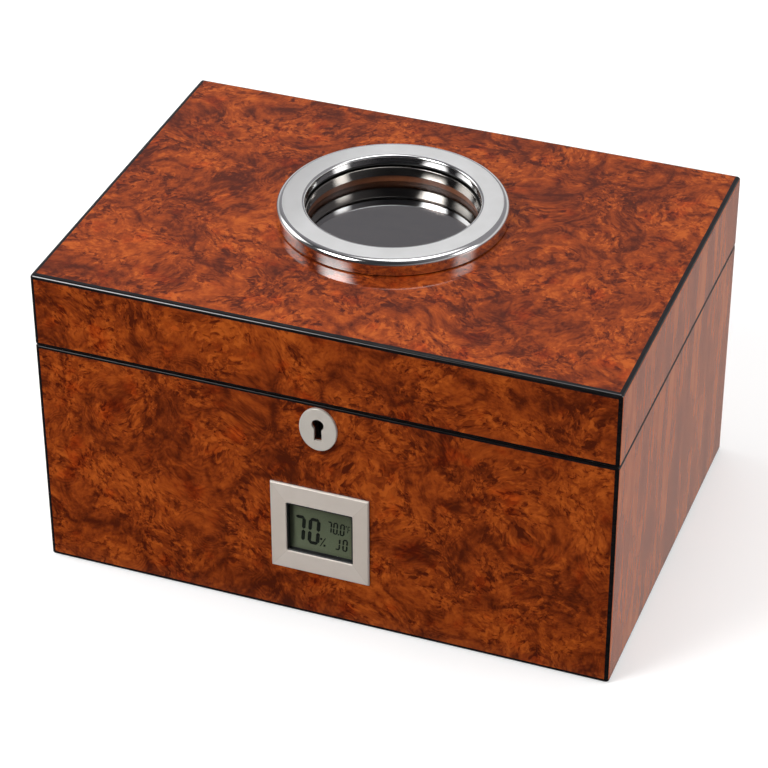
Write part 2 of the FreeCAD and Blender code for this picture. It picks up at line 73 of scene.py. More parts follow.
def darker(shade, part):
    """A colour at this part of its strength."""
    return [level * part for level in shade[:3]] + [1]


def colour_setting(name, description, *levels):
    """A colour that a user can change."""
    return FloatVectorProperty(name=name, description=description, subtype="COLOR", size=4,
                               min=0.0, max=1.0, default=colour(*levels))


def length_setting(name, description, millimetres):
    """A length that a user can change."""
    return FloatProperty(name=name, description=description, unit="LENGTH", subtype="DISTANCE",
                         min=0.0, default=millimetres * MM)


def angle_setting(name, description, degrees):
    """An angle that a user can change."""
    return FloatProperty(name=name, description=description, subtype="ANGLE",
                         default=radians(degrees))


def power_setting(name, description, watts):
    """A light's power that a user can change."""
    return FloatProperty(name=name, description=description, unit="POWER", subtype="POWER",
                         min=0.0, default=watts)


def grey(level):
    """A neutral colour from one display level."""
    return colour(level, level, level)


# Settings

class VeneerSettings(PropertyGroup):
    """Burl and straight veneers of the case."""
    swirl: length_setting("Swirl", "Size of the large swirls in the burl", 58)
    curl: length_setting("Curl", "Size of the small curls in the burl", 15)
    flake: length_setting("Flake", "Size of the flakes inside a cluster of eyes", 3.1)
    deep: colour_setting("Deep brown", "Darkest wood in the burl", 74, 26, 10)
    brown: colour_setting("Brown", "Wood between the burl's eyes", 104, 40, 14)
    amber: colour_setting("Amber", "Main colour of the burl", 136, 57, 19)
    orange: colour_setting("Orange", "Bright flakes of the burl", 172, 82, 28)
    stripe_dark: colour_setting("Dark stripe", "Dark grain of the straight veneer", 144, 76, 54)
    stripe_middle: colour_setting("Middle stripe", "Main colour of the straight veneer",
                                  170, 87, 50)
    stripe_light: colour_setting("Light stripe", "Light grain of the straight veneer", 192, 106, 62)
    lacquer_roughness: FloatProperty(
        name="Lacquer roughness", description="Roughness of the lacquer", subtype="FACTOR",
        min=0.0, max=1.0, default=0.06)


class WindowSettings(PropertyGroup):
    """Turned pieces round the lid's window."""
    ring_bore: length_setting("Ring bore", "Radius of the ring's opening", 48.4)
    outer_shoulder: length_setting("Outer shoulder", "Radius of the ring's outer edge", 3.3)
    inner_shoulder: length_setting("Inner shoulder", "Radius of the ring's inner edge", 1.4)
    gasket_bore: length_setting("Gasket bore", "Radius of the gasket's opening", 48.8)
    sleeve_bore: length_setting("Sleeve bore", "Radius of the sleeve's opening", 47.5)
    segments: IntProperty(name="Segments", description="Steps round a turned piece", min=24,
                          default=192)


class DisplaySettings(PropertyGroup):
    """What the hygrometer shows, and its colours."""
    humidity: StringProperty(name="Humidity", description="Large reading", default="70")
    temperature: StringProperty(name="Temperature", description="Small upper reading",
                                default="70.0")
    record: StringProperty(name="Record", description="Small lower reading", default="J0")
    slant: angle_setting("Slant", "Lean of the digits", 4.3)
    ink: colour_setting("Ink", "Dark segments of the display", 74, 76, 68)
    ground: colour_setting("Ground", "Grey-green of the display", 183, 191, 157)


class ScrewSettings(PropertyGroup):
    """Slotted countersunk wood screws."""
    slot_width: length_setting("Slot width", "Width of the driver slot", 0.55)
    slot_depth: length_setting("Slot depth", "Depth of the driver slot", 0.55)
    head_depth: length_setting("Head depth", "Height of the countersunk head", 1.2)
    shank_radius: length_setting("Shank radius", "Radius of the threaded shank", 1.1)


class StageSettings(PropertyGroup):
    """Camera, floor and studio lights."""
    lens: FloatProperty(name="Lens", description="Focal length in millimetres", min=1.0,
                        default=137.15)
    bearing: angle_setting("Bearing", "How far the camera is turned to the right", 20.46)
    elevation: angle_setting("Elevation", "How far the camera looks down", 34.51)
    roll: angle_setting("Roll", "Turn of the camera about its axis", 0.14)
    place: FloatVectorProperty(name="Place", description="Where the camera stands", unit="LENGTH",
                               subtype="TRANSLATION", default=(0.47335, -1.28561, 1.0237))
    floor_size: length_setting("Floor size", "Side of the floor", 24000)
    key_power: power_setting("Key power", "Watts of the front left softbox", 30.0)
    top_power: power_setting("Top power", "Watts of the overhead softbox", 16.0)
    side_power: power_setting("Side power", "Watts of the right softbox", 9.0)
    left_power: power_setting("Left power", "Watts of the left softbox", 14.0)


# Shader kit

class Term:
    """A number on a shader socket. Sums on it add Math nodes."""

    def __init__(self, kit, socket):
        self.kit = kit
        self.socket = socket

    def _math(self, operation, first, second=0.0):
        made = self.kit.node("ShaderNodeMath", {"operation": operation}, {0: first, 1: second})
        return Term(self.kit, made.outputs[0])

    def __add__(self, other):
        return self._math("ADD", self, other)

    def __radd__(self, other):
        return self._math("ADD", other, self)

    def __sub__(self, other):
        return self._math("SUBTRACT", self, other)

    def __rsub__(self, other):
        return self._math("SUBTRACT", other, self)

    def __mul__(self, other):
        return self._math("MULTIPLY", self, other)

    def __rmul__(self, other):
        return self._math("MULTIPLY", other, self)

    def __truediv__(self, other):
        return self._math("DIVIDE", self, other)

    def __mod__(self, other):
        return self._math("FLOORED_MODULO", self, other)

    def __pow__(self, other):
        return self._math("POWER", self, other)

    def __abs__(self):
        return self._math("ABSOLUTE", self)

    def wave(self):
        """Sine of the number, from 0 to 1."""
        return self._math("SINE", self) * 0.5 + 0.5

    def most(self, other):
        return self._math("MAXIMUM", self, other)

    def fold(self, length):
        """Runs from 0 up to the length and back, over and over."""
        return self._math("PINGPONG", self, length)

    def rise(self, low, high):
        """0 below low, 1 above high, and smooth between them."""
        made = self.kit.node("ShaderNodeMapRange", {"interpolation_type": "SMOOTHSTEP"},
                                {"Value": self, "From Min": low, "From Max": high})
        return Term(self.kit, made.outputs[0])

    def band(self, middle, half_width):
        """1 at the middle, falling to 0 at half_width from it."""
        return 1 - abs(self - middle).rise(0.0, half_width)


class Kit:
    """Adds nodes to one tree."""

    def __init__(self, tree):
        self.tree = tree

    def node(self, kind, settings=None, sockets=None):
        """Adds a node of this type, sets its settings, then its sockets."""
        made = self.tree.nodes.new(kind)
        for name, value in (settings or {}).items():
            if name == "stops":
                self._stops(made.color_ramp.elements, value)
            else:
                setattr(made, name, value)
        for name, value in (sockets or {}).items():
            if isinstance(value, Term):
                value = value.socket
            if isinstance(value, bpy.types.NodeSocket):
                self.tree.links.new(value, made.inputs[name])
            else:
                made.inputs[name].default_value = value
        return made

    @staticmethod
    def _stops(elements, stops):
        while len(elements) < len(stops):
            elements.new(0.5)
        for element, (place, shade) in zip(elements, stops):
            element.position = place
            element.color = shade


class ShaderKit(Kit):
    """Nodes that the trees of materials, lights and the world share."""

    def axes(self, vector):
        parts = self.node("ShaderNodeSeparateXYZ", None, {0: vector})
        return [Term(self, socket) for socket in parts.outputs]

    def ramp(self, factor, *stops):
        return self.node("ShaderNodeValToRGB", {"stops": stops}, {0: factor}).outputs[0]

    def mix(self, factor, first, second, blend="MIX"):
        """Mixes two colours."""
        made = self.node("ShaderNodeMix", {"data_type": "RGBA", "blend_type": blend},
                         {0: factor, 6: first, 7: second})
        return made.outputs[2]

    def blend(self, factor, first, second):
        """Mixes two shaders."""
        made = self.node("ShaderNodeMixShader", None, {0: factor, 1: first, 2: second})
        return made.outputs[0]


class Finish(ShaderKit):
    """One procedural material. Its textures work in millimetres."""

    def __init__(self, name):
        self.material = bpy.data.materials.new(name)
        self.material.use_nodes = True
        super().__init__(self.material.node_tree)
        self.tree.nodes.clear()
        self.out = self.node("ShaderNodeOutputMaterial")

    def vector(self, operation, first, second):
        """Maths on two vectors."""
        made = self.node("ShaderNodeVectorMath", {"operation": operation}, {0: first, 1: second})
        return made.outputs[0]

    def place(self, centre=(0, 0, 0), stretch=(1, 1, 1)):
        """Object coordinates in millimetres about a centre in metres, shrunk along the grain."""
        where = self.node("ShaderNodeTexCoord").outputs["Object"]
        turned = self.node("ShaderNodeMapping", None,
                           {"Vector": self.vector("SUBTRACT", where, centre),
                            "Scale": [1 / (MM * part) for part in stretch]})
        return turned.outputs[0]

    def cloud(self, vector, size, detail=2.0, roughness=0.5, distortion=0.0):
        """Noise node whose features are about size across."""
        return self.node("ShaderNodeTexNoise", None,
                         {"Vector": vector, "Scale": 1 / size, "Detail": detail,
                          "Roughness": roughness, "Distortion": distortion})

    def noise(self, vector, size, detail=2.0, roughness=0.5, distortion=0.0):
        return Term(self, self.cloud(vector, size, detail, roughness, distortion).outputs[0])

    def warp(self, vector, size, reach, detail=2.0):
        """The vector pushed about by noise of this size, by up to half the reach."""
        push = self.cloud(vector, size, detail).outputs[1]
        scaled = self.node("ShaderNodeVectorMath", {"operation": "SCALE"},
                           {0: self.vector("SUBTRACT", push, (0.5, 0.5, 0.5)), "Scale": reach})
        return self.vector("ADD", vector, scaled.outputs[0])

    def cells(self, vector, size):
        """Distance to the nearest point of a scatter of points about size apart."""
        made = self.node("ShaderNodeTexVoronoi", None, {"Vector": vector, "Scale": 1 / size})
        return Term(self, made.outputs["Distance"])

    def bump(self, height, depth):
        """Normal from a height of 0 to 1 that stands for this many millimetres."""
        made = self.node("ShaderNodeBump", None,
                         {"Height": height, "Strength": 1.0, "Distance": depth * MM})
        return made.outputs[0]

    def surface(self, base, roughness, normal=None, **fixed):
        """Principled surface. Names in fixed stand for its other sockets."""
        sockets = {"Base Color": base, "Roughness": roughness}
        if normal is not None:
            sockets["Normal"] = normal
        for name, value in fixed.items():
            name = name.replace("_", " ").title()
            sockets[name.replace("Ior", "IOR")] = value
        shader = self.node("ShaderNodeBsdfPrincipled", None, sockets)
        self.tree.links.new(shader.outputs[0], self.out.inputs["Surface"])
        return self.material


def dress(material, *nodes):
    """Gives CAD nodes a better material and leaves their meshes alone."""
    for name in nodes:
        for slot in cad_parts[name].material_slots:
            slot.material = material


# Materials

def burl_veneer(name, wood, painted_shade_factor, specular):
    """Lacquered burl: drifting clouds, dark rivers, and clusters of sharp flakes and eyes."""
    finish = Finish(name)
    place = finish.place()
    swirl = finish.warp(place, wood.swirl / MM, 36, 1.0)
    curl = finish.warp(swirl, wood.curl / MM, 8, 2.0)
    crumble = finish.warp(curl, 3.2, 1.9, 1.0)
    cloud = finish.noise(swirl, 46, 2.5, 0.5)
    region = finish.noise(place, 75, 1.5)
    clump = finish.noise(swirl, 24, 2, 0.5).rise(0.42, 0.56)
    mottle = finish.noise(curl, 7.5, 3, 0.5)
    bright_flake = finish.noise(crumble, wood.flake / MM, 2.5, 0.55).rise(0.52, 0.60)
    dark_flake = finish.noise(crumble, wood.flake / MM * 1.35, 3.0, 0.55, 0.6).rise(0.53, 0.62)
    grit = finish.noise(curl, 1.7, 2, 0.6)
    line = finish.noise(finish.warp(swirl, 9, 2.5), 23, 1.6, 0.4)
    flow = abs(line * 19 % 1.0 - 0.5).rise(0.02, 0.42)
    drawn = finish.noise(curl, 18, 2).rise(0.42, 0.60)
    eye = finish.cells(crumble, 7.0)
    river = finish.noise(swirl, 34, 1.0).band(0.46, 0.050)
    calm = 1 - clump
    tone = 0.50 + (cloud - 0.5) * 0.75 + (mottle - 0.5) * 0.95 + (grit - 0.5) * 0.42
    tone = tone + (region - 0.5) * 0.15
    tone = tone + bright_flake * (0.04 + clump * 0.18) - dark_flake * (0.04 + clump * 0.23)
    tone = tone - (1 - flow) * drawn * (0.04 + calm * 0.09)
    tone = tone - eye.band(0.0, 0.16) * clump * 0.22 + eye.band(0.30, 0.10) * clump * 0.10
    tone = tone - river * 0.18
    shade = finish.ramp(tone, (0.16, wood.deep), (0.36, wood.brown), (0.56, wood.amber),
                        (0.86, wood.orange))
    ruddy = finish.noise(place, 17, 3).rise(0.55, 0.72) * 0.7
    shade = finish.mix(ruddy, shade, (0.98, 0.60, 0.46, 1.0), "MULTIPLY")
    # painted shade: the whole burl is darkened by this factor, below 1 for the front copy
    shade = finish.mix(1.0, shade, (painted_shade_factor, painted_shade_factor, painted_shade_factor, 1.0), "MULTIPLY")
    roughness = wood.lacquer_roughness + finish.noise(place, 26, 3) * 0.03
    return finish.surface(shade, roughness, finish.bump(cloud, 0.004), ior=1.5,
                          specular_ior_level=specular)


def straight_veneer(name, wood):
    """Lacquered straight veneer: upright streaks, blotches, and painted shade as black bands at the
    seam and the foot.
    """
    finish = Finish(name)
    place = finish.place()
    grain = finish.warp(finish.place(stretch=(1, 1, 12)), 14, 3)
    streak = finish.noise(grain, 8.5, 2.5, 0.45)
    fine = finish.noise(grain, 1.6, 2, 0.5)
    blotch = finish.noise(finish.warp(finish.place(stretch=(1, 1, 2.6)), 25, 20), 17, 3, 0.5)
    fleck = finish.noise(finish.place(stretch=(1, 1, 14)), 0.7, 2).rise(0.62, 0.74)
    tone = 0.5 + (streak - 0.5) * 1.2 + (fine - 0.5) * 0.30 + (blotch - 0.5) * 0.9
    shade = finish.ramp(tone, (0.18, wood.stripe_dark), (0.50, wood.stripe_middle),
                        (0.82, wood.stripe_light))
    shade = finish.mix((1 - blotch.rise(0.34, 0.60)) * 0.30, shade, colour(130, 64, 43))
    shade = finish.mix(fleck * 0.12, shade, colour(96, 46, 30))
    up = finish.axes(place)[2]
    seam = (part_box("base_side_veneers")[1].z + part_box("lid_side_veneers")[0].z) / 2 / MM
    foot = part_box("base_side_veneers")[0].z / MM
    # painted shade: black bands along the seam's gap and along the foot
    edge = (1 - abs(up - seam).rise(1.25, 1.45)).most(1 - up.rise(foot + 1.3, foot + 1.5))
    shade = finish.mix(edge, shade, colour(18, 16, 16))
    roughness = wood.lacquer_roughness + fine * 0.04
    return finish.surface(shade, roughness, finish.bump(blotch, 0.0006), ior=1.5)


def black_lacquer(name, specular):
    """Edge binding: black-dyed strip under gloss lacquer, with a trace of its fibres."""
    finish = Finish(name)
    fibre = finish.noise(finish.place(stretch=(6, 6, 1)), 1.2, 4)
    shade = finish.ramp(fibre, (0.3, colour(9, 9, 9)), (0.75, colour(24, 22, 22)))
    return finish.surface(shade, 0.05 + fibre * 0.04, ior=1.5, specular_ior_level=specular)


def stained_board(name, dark, light):
    """Dense board with a stain and a thin satin seal."""
    finish = Finish(name)
    place = finish.place()
    fibre = finish.noise(place, 0.8, 5, 0.7)
    patch = finish.noise(place, 14, 3)
    shade = finish.ramp(fibre * 0.7 + patch * 0.3, (0.25, dark), (0.75, light))
    return finish.surface(shade, 0.30 + fibre * 0.12, finish.bump(fibre, 0.05), ior=1.48)


def cedar(name, stretch):
    """Bare Spanish cedar: rings, pores and darker flecks along the grain."""
    finish = Finish(name)
    grain = finish.warp(finish.place(stretch=stretch), 30, 6)
    ring = (finish.noise(grain, 20, 1) * 38).wave()
    streak = finish.noise(grain, 2.2, 4, 0.6)
    pore = finish.noise(grain, 0.55, 2, 0.6).rise(0.60, 0.72)
    tone = ring * 0.20 + streak * 0.85
    shade = finish.ramp(tone, (0.25, colour(150, 92, 62)), (0.55, colour(184, 122, 86)),
                        (0.85, colour(206, 150, 112)))
    shade = finish.mix(pore * 0.55, shade, colour(104, 58, 38))
    relief = streak * 0.4 + (1 - pore) * 0.6
    return finish.surface(shade, 0.58 + streak * 0.2, finish.bump(relief, 0.06),
                          ior=1.45, specular_ior_level=0.35)


def brushed_metal(name, base, low, high, stretch=(1, 1, 1), grit=0.5, depth=0.004, shine=1.0):
    """Satin metal with fine brushing along the stretched axis and soft smudges."""
    finish = Finish(name)
    brushing = finish.noise(finish.place(stretch=stretch), grit, 3, 0.6)
    smudge = finish.noise(finish.place(), 11, 3)
    roughness = low + (brushing * 0.6 + smudge * 0.4) * (high - low)
    shade = finish.ramp(brushing * 0.5 + smudge * 0.5, (0.25, darker(base, 0.92)), (0.75, base))
    return finish.surface(shade, roughness, finish.bump(brushing, depth), metallic=shine)


def bezel_metal():
    """Hygrometer bezel: matt plated frame, with a fine joint across each corner."""
    finish = Finish("bezel_satin")
    low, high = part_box("hygro_bezel")
    place = finish.place((low + high) / 2)
    across, _, up = finish.axes(place)
    border_x = (high.x - low.x) / 2 / MM - OPENING_X
    border_z = (high.z - low.z) / 2 / MM - OPENING_Z
    offset = (abs(across) - OPENING_X) / border_x - (abs(up) - OPENING_Z) / border_z
    joint = offset.band(0.0, 0.022)
    upright = offset.rise(-0.01, 0.01)
    grain = finish.noise(place, 0.5, 4, 0.6)
    smudge = finish.noise(place, 9, 3)
    shade = finish.mix(upright, colour(199, 189, 180), colour(195, 184, 174))
    shade = finish.mix(joint * 0.35, shade, colour(130, 122, 114))
    shade = finish.mix(smudge.rise(0.35, 0.7) * 0.25, shade, colour(187, 177, 166))
    return finish.surface(shade, 0.46 + grain * 0.12, finish.bump(grain - joint * 0.8, 0.012),
                          metallic=0.3)


def ring_metal():
    """Chromed ring: a satin face between polished shoulders, with a painted dim reflection darkening
    the face's left and painted shade in the groove at its foot.
    """
    finish = Finish("ring_chrome")
    low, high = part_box("window_ring")
    centre = (low + high) / 2
    across, along, up = finish.axes(finish.place(centre))
    radius = (across * across + along * along) ** 0.5
    outer = (high.x - low.x) / 2 / MM
    top = (high.z - low.z) / 2 / MM
    inner_edge, outer_edge = (49.6, 50.4), (outer - 3.9, outer - 2.7)
    top_edge, groove_edge = (top - 0.4, top - 0.1), (0.70 - top, 0.85 - top)
    painted_dim_reflection_side = (-64, -22)
    face = radius.rise(*inner_edge) * (1 - radius.rise(*outer_edge)) * up.rise(*top_edge)
    haze = finish.noise(finish.place(centre), 14, 3)
    turned = (radius * 9).wave()
    # painted shade: the groove at the ring's foot is coloured dark where shade falls
    gap = 1 - up.rise(*groove_edge)
    roughness = 0.10 + face * (0.31 + haze * 0.08)
    shade = finish.ramp(haze, (0.3, colour(212, 212, 211)), (0.7, colour(220, 220, 220)))
    # painted dim reflection: the satin face is darkened towards its left
    shade = finish.mix(face * (1 - across.rise(*painted_dim_reflection_side)) * 0.55, shade, colour(168, 167, 167))
    shade = finish.mix(gap, shade, colour(34, 26, 22))
    return finish.surface(shade, roughness, finish.bump(turned * face, 0.0012),
                          metallic=1 - face * 0.45)


def mirror_chrome(name, base):
    """Polished chrome with the faintest haze."""
    finish = Finish(name)
    haze = finish.noise(finish.place(), 9, 3)
    shade = finish.ramp(haze, (0.3, base), (0.7, darker(base, 0.93)))
    return finish.surface(shade, 0.08 + haze * 0.06, metallic=1.0)


def smoked_glass():
    """Grey pane with a thin mirror coating."""
    finish = Finish("smoked_glass_coated")
    dust = finish.noise(finish.place(), 0.7, 2).rise(0.70, 0.80)
    streak = finish.noise(finish.place(), 24, 3)
    shade = finish.ramp(streak, (0.3, colour(120, 112, 108)), (0.7, colour(138, 130, 126)))
    return finish.surface(shade, 0.02 + streak * 0.02 + dust * 0.05, ior=3.2,
                          transmission_weight=1.0, specular_ior_level=1.0)


def moulded_plastic(name, dark, light, roughness, grit=0.8, depth=0.03):
    """Moulded plastic with a fine spark-eroded texture."""
    finish = Finish(name)
    grain = finish.noise(finish.place(), grit, 3, 0.55)
    patch = finish.noise(finish.place(), 18, 2)
    shade = finish.ramp(grain * 0.5 + patch * 0.5, (0.3, dark), (0.7, light))
    return finish.surface(shade, roughness + grain * 0.12, finish.bump(grain, depth), ior=1.48)


def clear_window():
    """Clear moulded window of the display."""
    finish = Finish("clear_window_moulded")
    ripple = finish.noise(finish.place(), 13, 2)
    shade = finish.ramp(ripple, (0.3, colour(240, 243, 240)), (0.7, colour(247, 249, 247)))
    return finish.surface(shade, 0.02 + ripple * 0.02, finish.bump(ripple, 0.004), ior=1.46,
                          transmission_weight=1.0, specular_ior_level=0.35)


def display_ground(display):
    """Grey-green back of the display, with painted shade from its recess darkening it towards its
    rim.
    """
    finish = Finish("display_ground")
    low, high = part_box("hygro_display")
    place = finish.place((low + high) / 2)
    across, _, up = finish.axes(place)
    half_x, half_z = 19.2, 16
    rim = (abs(across) / half_x).most(abs(up) / half_z).rise(0.78, 1.05)
    film = finish.noise(place, 7, 3)
    speck = finish.noise(place, 0.22, 1)
    shade = finish.mix(film, darker(display.ground, 0.92), display.ground)
    shade = finish.mix(speck * 0.12, shade, colour(184, 190, 158))
    # painted shade: the ground darkens towards its rim
    shade = finish.mix(rim * 0.35, shade, colour(92, 98, 80))
    return finish.surface(shade, 0.5 + film * 0.1, finish.bump(speck, 0.004), ior=1.45,
                          specular_ior_level=0.2)


def display_ink(display):
    """Switched-on segments of the display."""
    finish = Finish("display_ink")
    film = finish.noise(finish.place(), 1.5, 2)
    shade = finish.mix(film, display.ink, colour(34, 36, 34))
    return finish.surface(shade, 0.5 + film * 0.1, ior=1.45, specular_ior_level=0.2)


def circuit_board():
    """Green board with copper tracks under its mask, and dull solder points."""
    finish = Finish("circuit_board_mask")
    place = finish.place()
    across = finish.axes(place)[0]
    track = (across * 2.4 + finish.noise(place, 9, 0) * 5).wave().rise(0.62, 0.72)
    step = finish.noise(place, 6, 0).rise(0.48, 0.52)
    pad = 1 - finish.cells(place, 2.54).rise(0.16, 0.22)
    shade = finish.mix(track * step * 0.55, colour(16, 62, 36), colour(38, 98, 52))
    shade = finish.mix(pad, shade, colour(176, 176, 168))
    relief = track * step * 0.5 + pad
    return finish.surface(shade, 0.32 + pad * 0.1, finish.bump(relief, 0.05), ior=1.5)


def soft_foam():
    """Open-cell foam that holds the humidifier's water."""
    finish = Finish("open_cell_foam")
    pore = finish.cells(finish.place(), 1.1).rise(0.15, 0.62)
    patch = finish.noise(finish.place(), 13, 3)
    shade = finish.mix(pore, colour(70, 84, 60), colour(150, 168, 128))
    shade = finish.mix(patch * 0.3, shade, colour(126, 142, 104))
    return finish.surface(shade, 0.85 + patch * 0.1, finish.bump(pore, 0.35),
                          specular_ior_level=0.15)


def felt():
    """Short-pile felt under the case."""
    finish = Finish("foot_felt")
    fibre = finish.noise(finish.warp(finish.place(), 1.6, 1.6), 0.45, 4, 0.7)
    patch = finish.noise(finish.place(), 22, 3)
    shade = finish.ramp(fibre * 0.7 + patch * 0.3, (0.3, colour(16, 22, 18)),
                        (0.75, colour(46, 58, 48)))
    return finish.surface(shade, 0.95, finish.bump(fibre, 0.2), sheen_weight=0.3,
                          specular_ior_level=0.1)


# Meshes

def piece(name, mesh, material=None):
    """A new object at the origin with this mesh."""
    made = bpy.data.objects.new(name, mesh)
    bpy.context.scene.collection.objects.link(made)
    if material is not None:
        mesh.materials.clear()
        mesh.materials.append(material)
    return made


def mesh_from(name, form, smooth_angle=None):
    """A mesh from a bmesh, with its faces turned outwards."""
    bmesh.ops.remove_doubles(form, verts=form.verts, dist=1e-7)
    bmesh.ops.recalc_face_normals(form, faces=form.faces)
    mesh = bpy.data.meshes.new(name)
    form.to_mesh(mesh)
    form.free()
    if smooth_angle is not None:
        mesh.shade_smooth()
        mesh.set_sharp_from_angle(angle=smooth_angle)
    return mesh


def evaluated_mesh(thing, name):
    """A plain mesh of an object with its modifiers applied. The object is removed."""
    graph = bpy.context.evaluated_depsgraph_get()
    mesh = bpy.data.meshes.new_from_object(thing.evaluated_get(graph), depsgraph=graph)
    mesh.name = name
    bpy.data.objects.remove(thing)
    return mesh


def arc(centre, radius, start, end, steps):
    """Points of an arc in a profile; angles in degrees."""
    return [(centre[0] + radius * cos(radians(start + (end - start) * step / steps)),
             centre[1] + radius * sin(radians(start + (end - start) * step / steps)))
            for step in range(steps + 1)]


def solids_of(node):
    """Lowest and highest corner of each separate solid in a CAD node."""
    form = bmesh.new()
    form.from_mesh(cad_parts[node].data)
    bmesh.ops.remove_doubles(form, verts=form.verts, dist=1e-6)
    waiting = set(form.verts)
    boxes = []
    while waiting:
        group = [waiting.pop()]
        for vert in group:
            for edge in vert.link_edges:
                other = edge.other_vert(vert)
                if other in waiting:
                    waiting.remove(other)
                    group.append(other)
        places = [vert.co for vert in group]
        boxes.append((Vector([min(place[axis] for place in places) for axis in range(3)]),
                      Vector([max(place[axis] for place in places) for axis in range(3)])))
    form.free()
    return sorted(boxes, key=lambda box: (round(box[0].x, 5), round(box[0].y, 5)))


# Geometry Nodes kit

class ShapeKit(Kit):
    """A Geometry Nodes tree with named inputs."""

    def __init__(self, name):
        super().__init__(bpy.data.node_groups.new(name, "GeometryNodeTree"))
        for way in ("INPUT", "OUTPUT"):
            self.tree.interface.new_socket("Geometry", in_out=way,
                                           socket_type="NodeSocketGeometry")
        self.start = self.node("NodeGroupInput")
        self.end = self.node("NodeGroupOutput")

    def input(self, name, kind, default=None):
        """Adds a named input and gives its socket inside the tree."""
        item = self.tree.interface.new_socket(name, in_out="INPUT",
                                              socket_type="NodeSocket" + kind)
        if default is not None:
            item.default_value = default
        return self.start.outputs[name]

    def close(self, geometry, material):
        """Ends the tree in Realize Instances and Set Material."""
        real = self.node("GeometryNodeRealizeInstances", None, {0: geometry})
        dressed = self.node("GeometryNodeSetMaterial", None,
                            {0: real.outputs[0], "Material": material})
        self.tree.links.new(dressed.outputs[0], self.end.inputs[0])
        return self.tree


def grow(name, seed_mesh, tree, values):
    """Runs a tree on a seed mesh with these input values and gives a plain mesh."""
    seed = piece(name + "_seed", seed_mesh)
    modifier = seed.modifiers.new("nodes", "NODES")
    modifier.node_group = tree
    for item in tree.interface.items_tree:
        if item.in_out == "INPUT" and item.name in values:
            modifier[item.identifier] = values[item.name]
    return evaluated_mesh(seed, name)


def turning_tree():
    """Sweeps a closed profile round a circle, as a lathe would turn it."""
    kit = ShapeKit("turned_piece")
    path_radius = kit.input("Path Radius", "Float", 0.05)
    segments = kit.input("Segments", "Int", 192)
    centre = kit.input("Centre", "Vector")
    material = kit.input("Material", "Material")
    profile = kit.node("GeometryNodeMeshToCurve", None, {"Mesh": kit.start.outputs["Geometry"]})
    path = kit.node("GeometryNodeCurvePrimitiveCircle", None,
                    {"Resolution": segments, "Radius": path_radius})
    level = kit.node("GeometryNodeSetCurveNormal", {"mode": "Z_UP"}, {"Curve": path.outputs[0]})
    swept = kit.node("GeometryNodeCurveToMesh", None,
                     {"Curve": level.outputs[0], "Profile Curve": profile.outputs[0]})
    placed = kit.node("GeometryNodeSetPosition", None,
                      {"Geometry": swept.outputs[0], "Offset": centre})
    return kit.close(placed.outputs[0], material)


def screw_tree():
    """Puts a screw on each point, facing its way, turned at random about its axis."""
    kit = ShapeKit("screws_on_points")
    screw = kit.input("Screw", "Object")
    seed = kit.input("Seed", "Int", SEED)
    material = kit.input("Material", "Material")
    facing = kit.node("GeometryNodeInputNamedAttribute", {"data_type": "FLOAT_VECTOR"},
                      {"Name": "facing"})
    shape = kit.node("GeometryNodeObjectInfo", None, {"Object": screw})
    turn = kit.node("FunctionNodeRandomValue", {"data_type": "FLOAT"},
                    {2: 0.0, 3: 2 * pi, "Seed": seed})
    aim = kit.node("FunctionNodeAlignRotationToVector", {"axis": "Z"},
                   {"Vector": facing.outputs[0]})
    spin = kit.node("FunctionNodeAxisAngleToRotation", None,
                    {"Axis": (0, 0, 1), "Angle": turn.outputs[1]})
    both = kit.node("FunctionNodeRotateRotation", {"rotation_space": "LOCAL"},
                    {"Rotation": aim.outputs[0], "Rotate By": spin.outputs[0]})
    points = kit.node("GeometryNodeMeshToPoints", None, {"Mesh": kit.start.outputs["Geometry"]})
    set_out = kit.node("GeometryNodeInstanceOnPoints", None,
                       {"Points": points.outputs[0], "Instance": shape.outputs["Geometry"],
                        "Rotation": both.outputs[0]})
    return kit.close(set_out.outputs[0], material)


def turned_piece(name, node, profile, material, segments):
    """A turned piece from a closed profile of (radius, height) points, in place of a CAD node."""
    low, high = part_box(node)
    centre = Vector(((low.x + high.x) / 2, (low.y + high.y) / 2, 0))
    path_radius = sum(radius for radius, _ in profile) / len(profile)
    mesh = bpy.data.meshes.new(name + "_profile")
    count = len(profile)
    mesh.from_pydata([(radius - path_radius, -height, 0) for radius, height in profile],
                     [(number, (number + 1) % count) for number in range(count)], [])
    turned = grow(name, mesh, turning_tree(),
                  {"Path Radius": path_radius, "Segments": segments, "Centre": centre,
                   "Material": material})
    form = bmesh.new()
    form.from_mesh(turned)
    made = piece(name, mesh_from(name, form, radians(32)), material)
    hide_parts(node)
    return made


# Operators

class HumidorOperator(Operator):
    """Shared options of the humidor's operators."""
    bl_options = {"REGISTER", "UNDO"}


class FinishCabinet(HumidorOperator):
    """Veneers, bindings, boards and felt of the case and lid"""
    bl_idname = "humidor.finish_cabinet"
    bl_label = "Finish Cabinet"

    def execute(self, context):
        wood = context.scene.humidor.veneer
        dress(burl_veneer("burl_top", wood, 1.0, 0.30), "lid_top_burl")
        # the front burl is the top's burl with painted shade, darkened to 0.74
        dress(burl_veneer("burl_front", wood, 0.74, 0.3), "lid_front_burl", "base_front_burl")
        dress(straight_veneer("straight_veneer_lacquered", wood), "base_side_veneers",
              "base_back_veneer", "lid_side_veneers", "lid_back_veneer")
        dress(black_lacquer("edge_binding_gloss", 0.5), "lid_top_binding")
        dress(black_lacquer("rim_binding_gloss", 0.12), "base_front_binding", "lid_front_binding")
        dress(stained_board("rim_board_seal", colour(22, 16, 14), colour(44, 32, 27)),
              "base_floor_panel", "base_front_panel", "base_back_panel", "base_side_panels",
              "lid_front_rail", "lid_back_rail", "lid_side_rails")
        dress(stained_board("top_board_seal", colour(74, 40, 24), colour(128, 76, 46)),
              "lid_top_panel")
        dress(felt(), "base_felt_pad")
        return {"FINISHED"}


